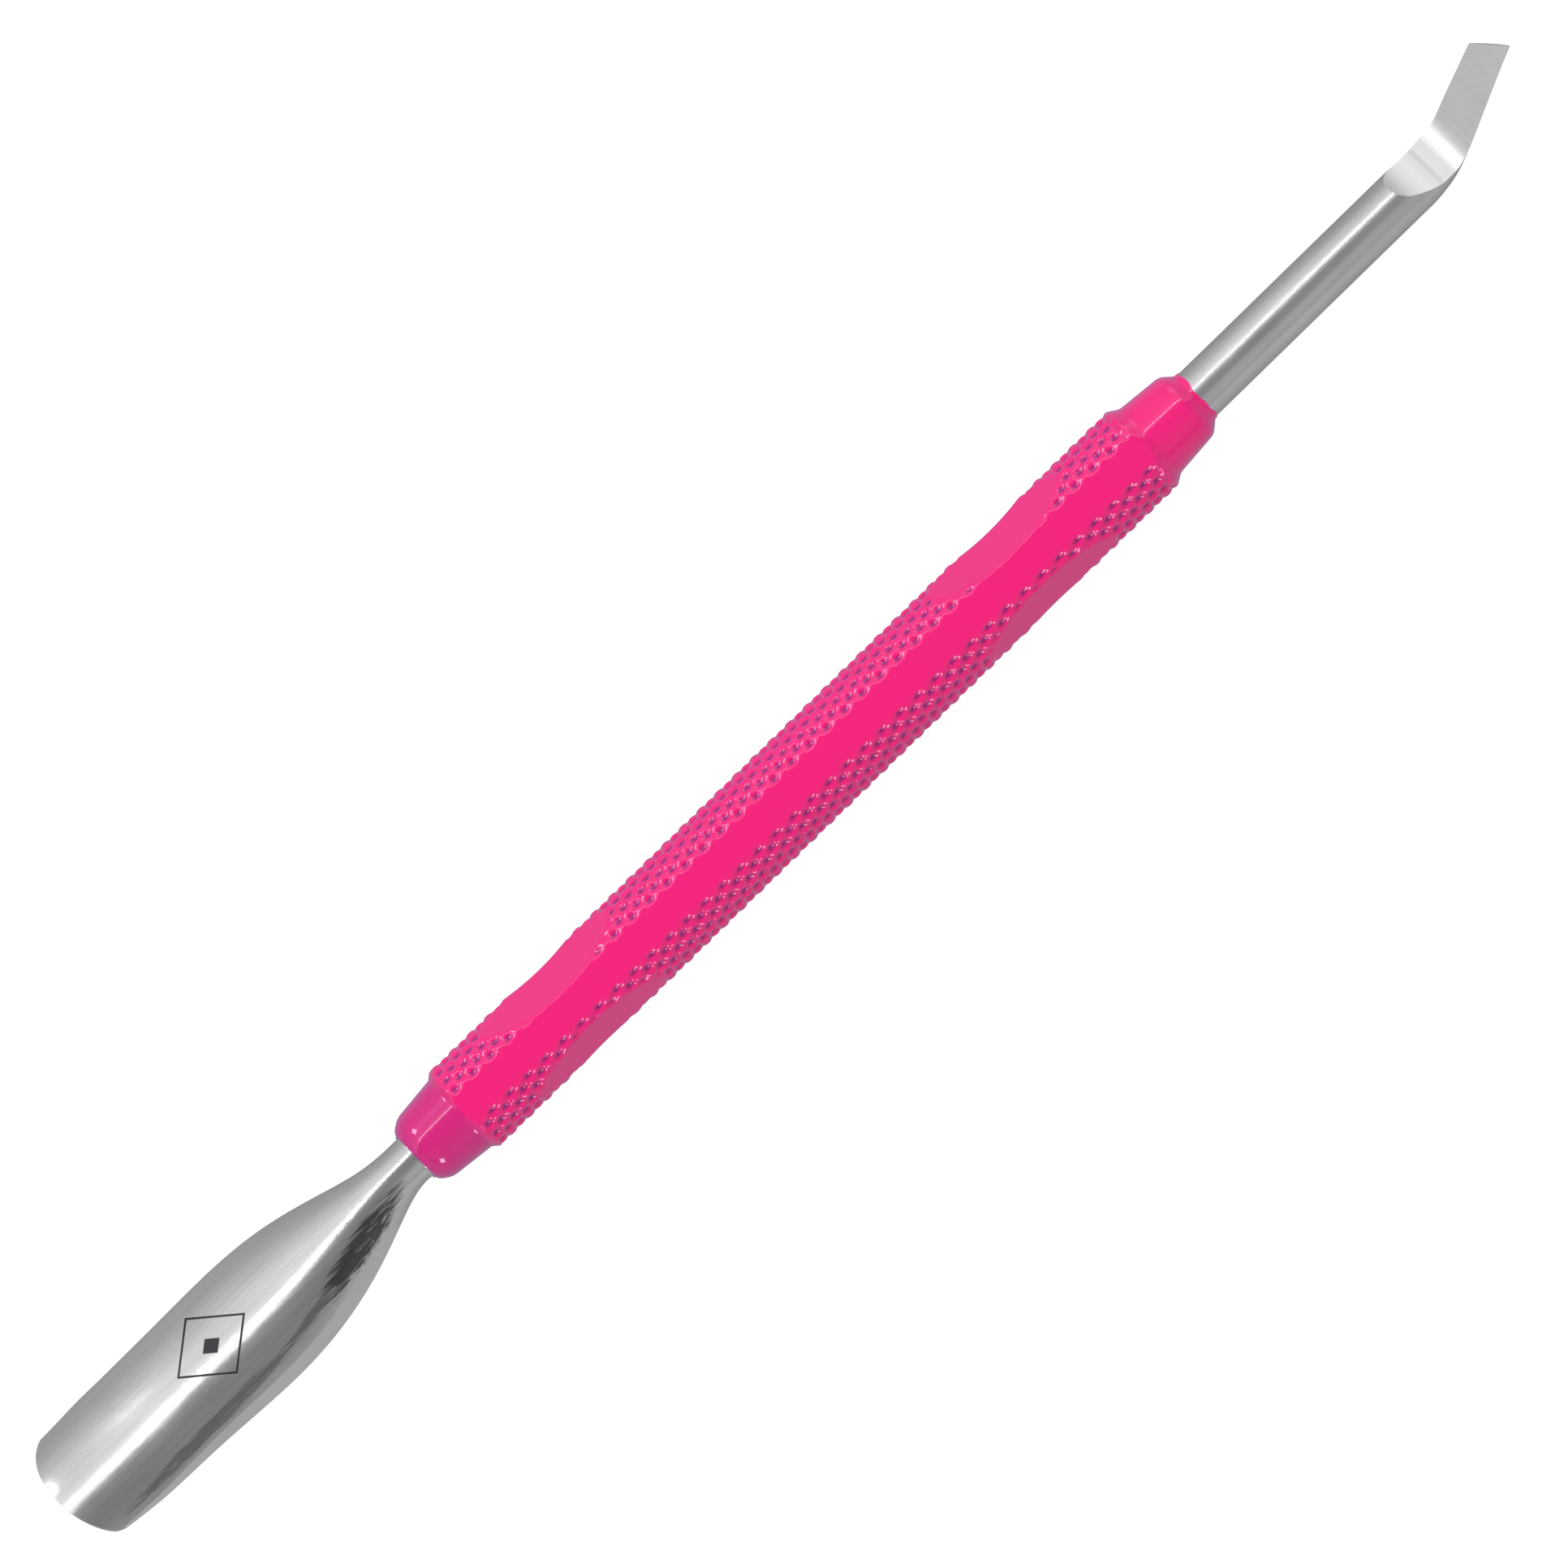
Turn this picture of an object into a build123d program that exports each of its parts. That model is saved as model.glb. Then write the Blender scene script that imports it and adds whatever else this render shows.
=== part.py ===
from build123d import *
import os
from math import cos, pi, radians, sin, tan

# Double-ended cuticle pusher: a coated steel handle with a forged spoon pusher pressed into one
# end and a bent, ground scraper blade pressed into the other.
#
# Frame: +X runs along the tool from the spoon to the blade and +Z is up. The origin is the middle
# of the flat that the handle rests on, so the handle's axis lies along X at flat_apothem.
# All lengths are in millimetres and all angles in degrees.

# ---- Handle: outer surface of the coating ----
grip_length = 64.4            # knurled part, between the two collars
grip_diameter = 7.0           # over the knurl's crests
grip_flat_depth = 0.27        # front flat and rest flat, below the crests
grip_edge_radius = 0.25       # rounded ends of the knurled part
collar_length = 4.65          # smooth collar at each end of the grip
collar_step = 0.45            # drop from the grip's crests to the collar's foot
collar_taper = 0.25           # further drop to its outer end
collar_edge_radius = 1.0      # rounded outer end of each collar
collar_foot_radius = 0.4      # hollow where a collar meets the grip
collar_step_run = 0.45        # length of the slope from a collar up to the grip
coat_thickness = 0.3          # dipped coating over the steel
coat_mouth_gap = 0.06         # coating stops this far short of the spoon's stop collar
coat_lip_length = 0.7         # coating that has run out along the blade's shank
coat_lip_edge = 0.06          # how thick it still is at its end

# ---- Finger scallops: four at each end of the grip ----
spoon_scallop_inset = 10.2    # grip's end to the scallops' middle, on the spoon's side
blade_scallop_inset = 11.7    # and on the blade's side
scallop_length = 12.4
deep_scallop_angle = 56       # on the +Y side, from the front or the rest flat's normal
deep_scallop_depth = 0.81
shallow_scallop_angle = 62    # on the -Y side
shallow_scallop_depth = 0.52

# ---- Bores and tangs ----
tang_diameter = 3.0
tang_length = 10.0
tang_gap = 0.02               # radial room in the bore
bore_overrun = 1.2            # bore deeper than the tang
drill_point_angle = 118

# ---- Spoon pusher ----
spoon_roll = 22               # scoop turned about the tool's axis, towards +Y
spoon_length = 33.7           # handle's end to the tip
spoon_width = 9.9             # across the rim at its widest
neck_diameter = 3.5
neck_length = 1.2
stop_collar_lip = 0.15        # thin collar, seated on the handle's steel, outside the neck
stop_collar_proud = 0.12      # shows past the end of the coating
rim_slant = 20                # outer face of the rim, off the vertical
rim_land_width = 0.35         # narrow underside of the rim
rim_land_drop = 0.08
tip_rounding = 2.7            # length of the half oval that rounds the tip in plan
tip_room = 0.08               # half oval wider than the scoop, each side

# Scoop sections, from the neck to just past the tip. Each row holds the share of the spoon's
# length and the share of its width, and then four heights from the tool's axis: the crown of
# the back, the top and the bottom of the rim, and the middle of the hollow.
scoop_sections = (
    (0.145, 0.566, 1.74, 0.70, -1.00, -1.25),
    (0.276, 0.848, 1.62, 0.25, -1.25, -0.25),
    (0.415, 0.998, 1.45, 0.00, -1.28, 0.38),
    (0.573, 1.000, 1.40, -0.04, -1.15, 0.50),
    (0.742, 0.970, 1.28, -0.12, -0.88, 0.50),
    (0.896, 0.933, 1.12, -0.25, -0.62, 0.46),
    (1.015, 0.909, 0.96, -0.36, -0.54, 0.42),
)

# ---- Scraper blade ----
blade_roll = 33               # ground face turned about the tool's axis, towards +Y
shank_diameter = 3.85
shank_length = 20.1           # handle's end to the start of the bend
bend_radius = 7.0             # along the back of the blade
bend_angle = 41               # back of the blade past the bend, off the tool's axis
blade_length = 8.7            # straight back of the blade, from the bend to the tip
grind_lead = 0.85             # first ground line to the start of the bend
heel_run = 3.1                # first ground line to the crease in the ground face
crease_height = 0.47          # crease above the tool's axis
heel_radius = 6.0             # hollow ground between the shank and the crease
crease_rise = 5.7             # ground face just past the crease, off the tool's axis
face_bend_radius = 3.5        # hollow where the ground face follows the bend
blade_taper = 3.4             # between the straight back and the ground face
blade_edge_thickness = 0.45
tip_skew = 34                 # tip edge, off square to the blade

blank_tip_width = 3.5         # oval of the forged blank where the tip will be ground
blank_tip_thickness = 1.2
blank_spread = 0.13           # each side bellies out this much at the middle of the blank
bend_steps = 5                # sections round the bend
blade_steps = 3               # sections along the blade past it
overrun_steps = 1             # and past the tip, cut away with it

# ---- Worked-out sizes ----
flat_apothem = grip_diameter / 2 - grip_flat_depth
handle_length = grip_length + 2 * collar_length
handle_end = handle_length / 2
steel_end = handle_end - coat_thickness
grip_end = grip_length / 2
tang_radius = tang_diameter / 2
neck_radius = neck_diameter / 2
stop_collar_radius = neck_radius + stop_collar_lip
shank_radius = shank_diameter / 2
grind_start = shank_length - grind_lead
bend_run = bend_radius * radians(bend_angle)
blank_length = bend_run + blade_length
crease = (grind_start + heel_run, crease_height)


def cross_plane(x):
    """Plane across the tool at x, with its own axes along +Y and +Z."""
    return Plane(origin=(x, 0, 0), x_dir=(0, 1, 0), z_dir=(1, 0, 0))


def rod(x_start, x_end, radius):
    """Round bar on the X axis from x_start to x_end."""
    return extrude(cross_plane(x_start) * Circle(radius), x_end - x_start)


# ---- Handle ----
def silhouette():
    """Outline of the coated handle seen from the side, whole, about the X axis."""
    grip_radius = grip_diameter / 2
    root_radius = grip_radius - collar_step
    end_radius = root_radius - collar_taper
    step_foot = grip_end + collar_step_run
    quarter = [
        (grip_end, grip_radius),
        (step_foot, root_radius),
        (handle_end, end_radius),
    ]
    top = [(-x, z) for x, z in quarter[::-1]] + quarter
    bottom = [(x, -z) for x, z in top[::-1]]
    face = Plane.XZ * make_face(Polyline(*top, *bottom, close=True))
    for reach, radius in (
        (grip_end, grip_edge_radius),
        (step_foot, collar_foot_radius),
        (handle_end, collar_edge_radius),
    ):
        corners = [v for v in face.vertices() if abs(abs(v.X) - reach) < 0.01]
        face = fillet(corners, radius)
    return face


def scallop_cutter(middle, depth, angle, inset):
    """Roller that hollows one finger scallop; its axis lies across the tool."""
    radius = ((scallop_length / 2) ** 2 + depth**2) / (2 * depth)
    roller = Plane.XZ * Circle(radius + inset)
    roller = extrude(roller, grip_diameter, both=True)
    lifted = Pos(middle, 0, grip_diameter / 2 - depth + radius) * roller
    return Rot(-angle, 0, 0) * lifted


def handle_blank(inset):
    """Solid handle, taken in by inset all over, about the X axis."""
    outline = silhouette()
    if inset > 0:
        outline = offset(outline, amount=-inset)
    upper = split(outline, bisect_by=Plane.XY, keep=Keep.TOP)
    blank = revolve(upper, axis=Axis.X)
    blank &= Box(2 * handle_length, 2 * grip_diameter, 2 * (flat_apothem - inset))
    middles = (-grip_end + spoon_scallop_inset, grip_end - blade_scallop_inset)
    for middle in middles:
        for angle in (deep_scallop_angle, 180 - deep_scallop_angle):
            blank -= scallop_cutter(middle, deep_scallop_depth, angle, inset)
        for angle in (shallow_scallop_angle, 180 - shallow_scallop_angle):
            blank -= scallop_cutter(middle, shallow_scallop_depth, -angle, inset)
    return blank


def tang_bore():
    """Blind hole for a tang, from the blade's end of the steel inwards, with its drill point."""
    radius = tang_radius + tang_gap
    floor = steel_end - tang_length - bore_overrun
    point = radius / tan(radians(drill_point_angle / 2))
    outline = Polyline(
        (floor - point, 0), (floor, radius), (handle_end, radius), (handle_end, 0), close=True
    )
    return revolve(Plane.XZ * make_face(outline), axis=Axis.X)


def handle_core():
    """Steel handle under the coating, bored at both ends."""
    core = handle_blank(coat_thickness) - tang_bore()
    return core - Rot(0, 0, 180) * tang_bore()


def grip_coating():
    """Coating over the whole handle, open round the spoon's collar and run out on the shank."""
    coat = handle_blank(0) - handle_blank(coat_thickness)
    mouth = stop_collar_radius + coat_mouth_gap
    coat -= rod(-handle_end - coat_thickness, 0, mouth) - handle_blank(coat_thickness)
    lip = Polyline(
        (steel_end, shank_radius),
        (steel_end, shank_radius + coat_thickness),
        (handle_end, shank_radius + coat_thickness),
        (handle_end + coat_lip_length, shank_radius + coat_lip_edge),
        (handle_end + coat_lip_length, shank_radius),
        close=True,
    )
    coat += revolve(Plane.XZ * make_face(lip), axis=Axis.X)
    return coat - rod(steel_end, 2 * handle_end, shank_radius)


# ---- Spoon pusher ----
def neck_section(reach):
    """Round section of the neck, in six arcs that answer the six sides of a scoop section."""
    corners = (50, 110, 130, 230, 250, 310)
    spans = zip(corners, corners[1:] + (corners[0] + 360,))
    arcs = []
    for start, end in spans:
        on_circle = []
        for turn in (start, (start + end) / 2, end):
            angle = radians(turn)
            on_circle.append((neck_radius * sin(angle), neck_radius * cos(angle)))
        arcs.append(ThreePointArc(*on_circle))
    return cross_plane(-reach) * make_face(arcs)


def scoop_section(length_share, width_share, crown, rim_top, rim_bottom, hollow):
    """Crescent across the scoop: rim, land, hollow, land, rim and the arched back."""
    reach = length_share * spoon_length
    half_width = width_share * spoon_width / 2
    brow = half_width - (rim_top - rim_bottom) * tan(radians(rim_slant))
    land = half_width - rim_land_width
    land_height = rim_bottom - rim_land_drop
    sides = [
        Line((brow, rim_top), (half_width, rim_bottom)),
        Line((half_width, rim_bottom), (land, land_height)),
        ThreePointArc((land, land_height), (0, hollow), (-land, land_height)),
        Line((-land, land_height), (-half_width, rim_bottom)),
        Line((-half_width, rim_bottom), (-brow, rim_top)),
        ThreePointArc((-brow, rim_top), (0, crown), (brow, rim_top)),
    ]
    return cross_plane(-reach) * make_face(sides)


def tip_outline():
    """Plan outline that rounds the scoop's tip with half an oval, and clears the rest of it."""
    half_width = scoop_sections[-1][1] * spoon_width / 2 + tip_room
    middle = tip_rounding - spoon_length
    oval = EllipticalCenterArc((middle, 0), tip_rounding, half_width, 90, arc_size=180)
    clear = 3 * half_width
    rest = Polyline((middle, -half_width), (0, -clear), (0, clear), (middle, half_width))
    return make_face([oval, rest])


def spoon_pusher():
    """Forged spoon with its neck, stop collar and tang."""
    sections = [neck_section(0), neck_section(neck_length)]
    sections += [scoop_section(*row) for row in scoop_sections]
    scoop = loft(sections)
    scoop &= extrude(tip_outline(), 2 * neck_diameter, both=True)
    scoop = Rot(-spoon_roll, 0, 0) * scoop
    spoon = Pos(-handle_end, 0, 0) * scoop
    spoon += rod(-handle_end, -steel_end, neck_radius)
    spoon += rod(-handle_end - stop_collar_proud, -steel_end, stop_collar_radius)
    return spoon + rod(-steel_end, -steel_end + tang_length, tang_radius)


# ---- Scraper blade ----
def back_line(run):
    """Point on the blade's back, as x and z, and its slope, this far along from the bend."""
    slope = min(run, bend_run) / bend_radius
    straight = max(run - bend_run, 0)
    x = shank_length + bend_radius * sin(slope) + straight * cos(slope)
    z = bend_radius * (1 - cos(slope)) - shank_radius + straight * sin(slope)
    return x, z, slope


def blank_section(run):
    """Oval across the bent blank, resting on the back line."""
    x, z, slope = back_line(run)
    share = run / blank_length
    half_width = shank_radius + (blank_tip_width / 2 - shank_radius) * share**2
    half_width += blank_spread * sin(pi * share) ** 2
    half_thickness = shank_radius + (blank_tip_thickness / 2 - shank_radius) * share
    origin = (x - half_thickness * sin(slope), 0, z + half_thickness * cos(slope))
    plane = Plane(origin=origin, x_dir=(0, 1, 0), z_dir=(cos(slope), 0, sin(slope)))
    return plane * Ellipse(half_width, half_thickness)


def blade_tip():
    """Tip of the ground face, as x and z."""
    x, z, slope = back_line(blank_length)
    return x - blade_edge_thickness * sin(slope), z + blade_edge_thickness * cos(slope)


def face_knee():
    """Where the ground face's two straights would meet, as x and z."""
    tip = blade_tip()
    rise = tan(radians(crease_rise))
    climb = tan(radians(bend_angle - blade_taper))
    x = (tip[1] - crease[1] + rise * crease[0] - climb * tip[0]) / (rise - climb)
    return x, crease[1] + rise * (x - crease[0])


def grinding_cut():
    """What the wheel takes off: the hollow behind the crease and all above the ground face."""
    start = (grind_start, shank_radius)
    knee = face_knee()
    tip = blade_tip()
    beyond = (2 * tip[0] - knee[0], 2 * tip[1] - knee[1])
    roof = beyond[1] + shank_radius
    heel = RadiusArc(start, crease, -heel_radius)
    face = FilletPolyline(crease, knee, beyond, radius=face_bend_radius)
    closing = Polyline(beyond, (beyond[0], roof), (grind_start, roof), start)
    profile = Plane.XZ * make_face([heel, face, closing])
    return extrude(profile, shank_diameter, both=True)


def tip_plane():
    """Plane of the skewed tip edge; its normal points off the end of the blade."""
    tip = blade_tip()
    face_angle = radians(bend_angle - blade_taper)
    skew = radians(tip_skew)
    off_end = (cos(face_angle) * cos(skew), sin(skew), sin(face_angle) * cos(skew))
    return Plane(origin=(tip[0], 0, tip[1]), z_dir=off_end)


def scraper_blade():
    """Scraper blade bent and ground from round bar, with its tang."""
    round_bend = [blank_section(bend_run * k / bend_steps) for k in range(bend_steps + 1)]
    past_bend = []
    for k in range(blade_steps + overrun_steps + 1):
        past_bend.append(blank_section(bend_run + blade_length * k / blade_steps))
    blade = rod(0, shank_length, shank_radius) + loft(round_bend) + loft(past_bend)
    blade -= grinding_cut()
    blade = split(blade, bisect_by=tip_plane(), keep=Keep.BOTTOM)
    blade = Rot(-blade_roll, 0, 0) * blade
    blade = Pos(handle_end, 0, 0) * blade
    blade += rod(steel_end, handle_end, shank_radius)
    return blade + rod(steel_end - tang_length, steel_end, tang_radius)


# ---- Every piece, lifted onto its rest flat ----
pieces = {
    "handle_core": handle_core(),
    "grip_coating": grip_coating(),
    "spoon_pusher": spoon_pusher(),
    "scraper_blade": scraper_blade(),
}

os.makedirs("parts", exist_ok=True)
for node, shape in pieces.items():
    seated = Pos(0, 0, flat_apothem) * shape
    export_step(seated, f"parts/{node}.step")
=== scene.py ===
import logging
import math
from dataclasses import dataclass
from enum import Enum

import bpy
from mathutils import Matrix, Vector


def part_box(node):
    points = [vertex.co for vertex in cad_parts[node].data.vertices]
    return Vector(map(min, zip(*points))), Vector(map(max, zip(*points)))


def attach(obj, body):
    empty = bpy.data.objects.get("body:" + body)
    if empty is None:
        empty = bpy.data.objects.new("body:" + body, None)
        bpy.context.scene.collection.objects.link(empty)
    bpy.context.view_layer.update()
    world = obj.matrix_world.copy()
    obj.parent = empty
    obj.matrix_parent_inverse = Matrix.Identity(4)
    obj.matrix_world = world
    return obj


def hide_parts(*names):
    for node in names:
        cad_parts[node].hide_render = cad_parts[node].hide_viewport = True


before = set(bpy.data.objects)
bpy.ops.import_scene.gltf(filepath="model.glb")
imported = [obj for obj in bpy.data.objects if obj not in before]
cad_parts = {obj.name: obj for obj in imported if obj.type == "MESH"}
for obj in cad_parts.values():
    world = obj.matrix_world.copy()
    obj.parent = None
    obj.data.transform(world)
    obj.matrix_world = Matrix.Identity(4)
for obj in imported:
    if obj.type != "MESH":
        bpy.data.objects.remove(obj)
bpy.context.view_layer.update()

MM = 0.001
BODY = "root"

Colour = tuple[float, float, float]
Stretch = tuple[float, float, float]

log = logging.getLogger("cuticle_pusher")


class Grain(Enum):
    """The way the fine marks of a steel finish run."""

    ALONG = "along the tool"
    ACROSS = "across the tool"


class Value:
    """A number in a node tree, worked with in plain arithmetic."""

    def __init__(self, tree: bpy.types.NodeTree, socket: bpy.types.NodeSocket) -> None:
        """Wrap an output socket.

        Args:
            tree: The node tree that the socket belongs to.
            socket: The output socket that gives the number.
        """
        self.tree = tree
        self.socket = socket

    def maths(self, operation: str, *others: "Value | float") -> "Value":
        """Put this value through a Math node.

        Args:
            operation: The Math node's operation.
            others: The further operands.

        Returns:
            The node's result.
        """
        node = self.tree.nodes.new("ShaderNodeMath")
        node.operation = operation
        for entry, operand in zip(node.inputs, (self, *others)):
            feed(self.tree, entry, operand)
        return Value(self.tree, node.outputs[0])

    def __add__(self, other: "Value | float") -> "Value":
        """Sum of two values."""
        return self.maths("ADD", other)

    def __sub__(self, other: "Value | float") -> "Value":
        """Difference of two values."""
        return self.maths("SUBTRACT", other)

    def __mul__(self, other: "Value | float") -> "Value":
        """Product of two values."""
        return self.maths("MULTIPLY", other)

    def __truediv__(self, other: "Value | float") -> "Value":
        """Quotient of two values."""
        return self.maths("DIVIDE", other)

    def taken_from(self, whole: float) -> "Value":
        """What is left of a whole once this value is taken from it."""
        return self * -1.0 + whole

    def squared(self) -> "Value":
        """This value times itself."""
        return self * self

    def root(self) -> "Value":
        """Square root, with nought for a value below nought."""
        return self.maths("MAXIMUM", 0.0).maths("SQRT")

    def least(self, other: "Value | float") -> "Value":
        """The smaller of two values."""
        return self.maths("MINIMUM", other)

    def most(self, other: "Value | float") -> "Value":
        """The larger of two values."""
        return self.maths("MAXIMUM", other)

    def blended_least(self, other: "Value", reach: "Value | float") -> "Value":
        """The smaller of two values, rounded where they cross."""
        return self.maths("SMOOTH_MIN", other, reach)

    def ramp(self, start: float, end: float) -> "Value":
        """Rise smoothly from 0 to 1.

        Args:
            start: Where the result is 0.
            end: Where the result is 1; it may be below start.

        Returns:
            The eased share of the way.
        """
        node = self.tree.nodes.new("ShaderNodeMapRange")
        node.interpolation_type = "SMOOTHSTEP"
        feed(self.tree, node.inputs["Value"], self)
        node.inputs["From Min"].default_value = start
        node.inputs["From Max"].default_value = end
        return Value(self.tree, node.outputs["Result"])


def feed(tree: bpy.types.NodeTree, entry: bpy.types.NodeSocket, operand: "Value | float") -> None:
    """Give an input socket its operand.

    Args:
        tree: The node tree that holds the socket.
        entry: The input socket.
        operand: A value in the tree, which is linked, or a number, which is set.
    """
    if isinstance(operand, Value):
        tree.links.new(operand.socket, entry)
    else:
        entry.default_value = operand


def split_axes(tree: bpy.types.NodeTree, vector: bpy.types.NodeSocket) -> tuple[Value, Value, Value]:
    """Split a vector socket into its three values.

    Args:
        tree: The node tree.
        vector: The socket that gives the vector.

    Returns:
        The vector's x, y and z.
    """
    node = tree.nodes.new("ShaderNodeSeparateXYZ")
    tree.links.new(vector, node.inputs[0])
    return tuple(Value(tree, output) for output in node.outputs)


# ---- The handle's form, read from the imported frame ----
@dataclass(frozen=True)
class HandleForm:
    """Sizes of the coated handle, in metres."""

    axis_height: float
    crest_radius: float
    flat_apothem: float
    handle_end: float
    lip_end: float
    shank_radius: float
    collar_length: float = 4.65 * MM
    collar_step: float = 0.45 * MM
    collar_taper: float = 0.25 * MM
    collar_edge_radius: float = 1.0 * MM
    grip_edge_radius: float = 0.35 * MM
    coat_thickness: float = 0.3 * MM
    mouth_radius: float = 1.96 * MM
    lip_edge: float = 0.06 * MM
    spoon_scallops: float = -22.0 * MM
    blade_scallops: float = 20.5 * MM
    scallop_length: float = 12.4 * MM
    deep_angle: float = math.radians(56)
    deep_depth: float = 0.81 * MM
    shallow_angle: float = math.radians(-62)
    shallow_depth: float = 0.52 * MM

    @classmethod
    def from_frame(cls) -> "HandleForm":
        """Read the handle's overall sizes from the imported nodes.

        Returns:
            The handle's form.
        """
        low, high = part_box("grip_coating")
        blade_low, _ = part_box("scraper_blade")
        return cls(
            axis_height=(low.z + high.z) / 2,
            crest_radius=(high.y - low.y) / 2,
            flat_apothem=(high.z - low.z) / 2,
            handle_end=-low.x,
            lip_end=high.x,
            shank_radius=-blade_low.y,
        )

    @property
    def grip_end(self) -> float:
        """Half the length of the knurled part."""
        return self.handle_end - self.collar_length


@dataclass(frozen=True)
class Corner:
    """One corner of a turned outline, before it is rounded; run_out is how ragged it is."""

    x: float
    radius: float
    rounding: float = 0.0
    outside: bool = True
    run_out: float = 0.0


@dataclass(frozen=True)
class Ring:
    """One ring of points round the handle's axis."""

    x: float
    radius: float
    outside: float
    run_out: float


class TurnedSleeve:
    """A closed sleeve turned about the handle's axis."""

    ARC_STEP = 0.12 * MM
    LEAST_ARC_STEPS = 3

    def __init__(self, corners: list[Corner], fine_step: float, plain_step: float) -> None:
        """Keep the outline and the spacing of its rings.

        Args:
            corners: The outline's corners, in order round the sleeve's wall.
            fine_step: Spacing of the rings on the outside.
            plain_step: Spacing of the rings inside.
        """
        self.corners = corners
        self.fine_step = fine_step
        self.plain_step = plain_step

    def rounded(self, index: int) -> list[Vector]:
        """Round one corner with an arc.

        Args:
            index: Which corner.

        Returns:
            Points on the arc, or the corner alone where it stays sharp.
        """
        here = self.corners[index]
        before = self.corners[index - 1]
        after = self.corners[(index + 1) % len(self.corners)]
        point = Vector((here.x, here.radius))
        if here.rounding == 0.0:
            return [point]
        back = (Vector((before.x, before.radius)) - point).normalized()
        ahead = (Vector((after.x, after.radius)) - point).normalized()
        half = back.angle(ahead) / 2
        centre = point + (back + ahead).normalized() * (here.rounding / math.sin(half))
        start = point + back * (here.rounding / math.tan(half)) - centre
        end = point + ahead * (here.rounding / math.tan(half)) - centre
        sweep = math.pi - 2 * half
        steps = max(self.LEAST_ARC_STEPS, round(sweep * here.rounding / self.ARC_STEP))
        arc = []
        for step in range(steps + 1):
            share = step / steps
            weight_end = math.sin(share * sweep) / math.sin(sweep)
            weight_start = math.sin((1 - share) * sweep) / math.sin(sweep)
            arc.append(centre + start * weight_start + end * weight_end)
        return arc

    def rings(self) -> list[Ring]:
        """Walk round the wall and space out its rings.

        Returns:
            The rings, in order, with none twice.
        """
        rings: list[Ring] = []
        arcs = [self.rounded(index) for index in range(len(self.corners))]
        for index, arc in enumerate(arcs):
            here = self.corners[index]
            following = self.corners[(index + 1) % len(self.corners)]
            outside = float(here.outside)
            rings += [Ring(p.x, p.y, outside, here.run_out) for p in arc]
            start, end = arc[-1], arcs[(index + 1) % len(arcs)][0]
            gap = (end - start).length
            is_outside = here.outside and following.outside
            step = self.fine_step if is_outside else self.plain_step
            count = max(1, round(gap / step))
            for k in range(1, count):
                p = start.lerp(end, k / count)
                run_out = here.run_out + (following.run_out - here.run_out) * k / count
                rings.append(Ring(p.x, p.y, float(is_outside), run_out))
        return rings

    def mesh(self, name: str, columns: int, axis_height: float) -> bpy.types.Mesh:
        """Turn the rings into a closed mesh.

        Args:
            name: The mesh's name.
            columns: Points on each ring.
            axis_height: Height of the axis that the sleeve is turned about.

        Returns:
            The mesh, with each point's ring values as attributes.
        """
        rings = self.rings()
        points = []
        for ring in rings:
            for column in range(columns):
                turn = 2 * math.pi * column / columns
                y = ring.radius * math.sin(turn)
                z = ring.radius * math.cos(turn) + axis_height
                points.append((ring.x, y, z))
        faces = []
        for row in range(len(rings)):
            this_row, next_row = row * columns, (row + 1) % len(rings) * columns
            for column in range(columns):
                beside = (column + 1) % columns
                faces.append(
                    (this_row + column, next_row + column, next_row + beside, this_row + beside)
                )
        mesh = bpy.data.meshes.new(name)
        mesh.from_pydata(points, [], faces)
        for label in ("outside", "run_out"):
            attribute = mesh.attributes.new(label, "FLOAT", "POINT")
            values = [getattr(ring, label) for ring in rings for _ in range(columns)]
            attribute.data.foreach_set("value", values)
        return mesh


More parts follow.
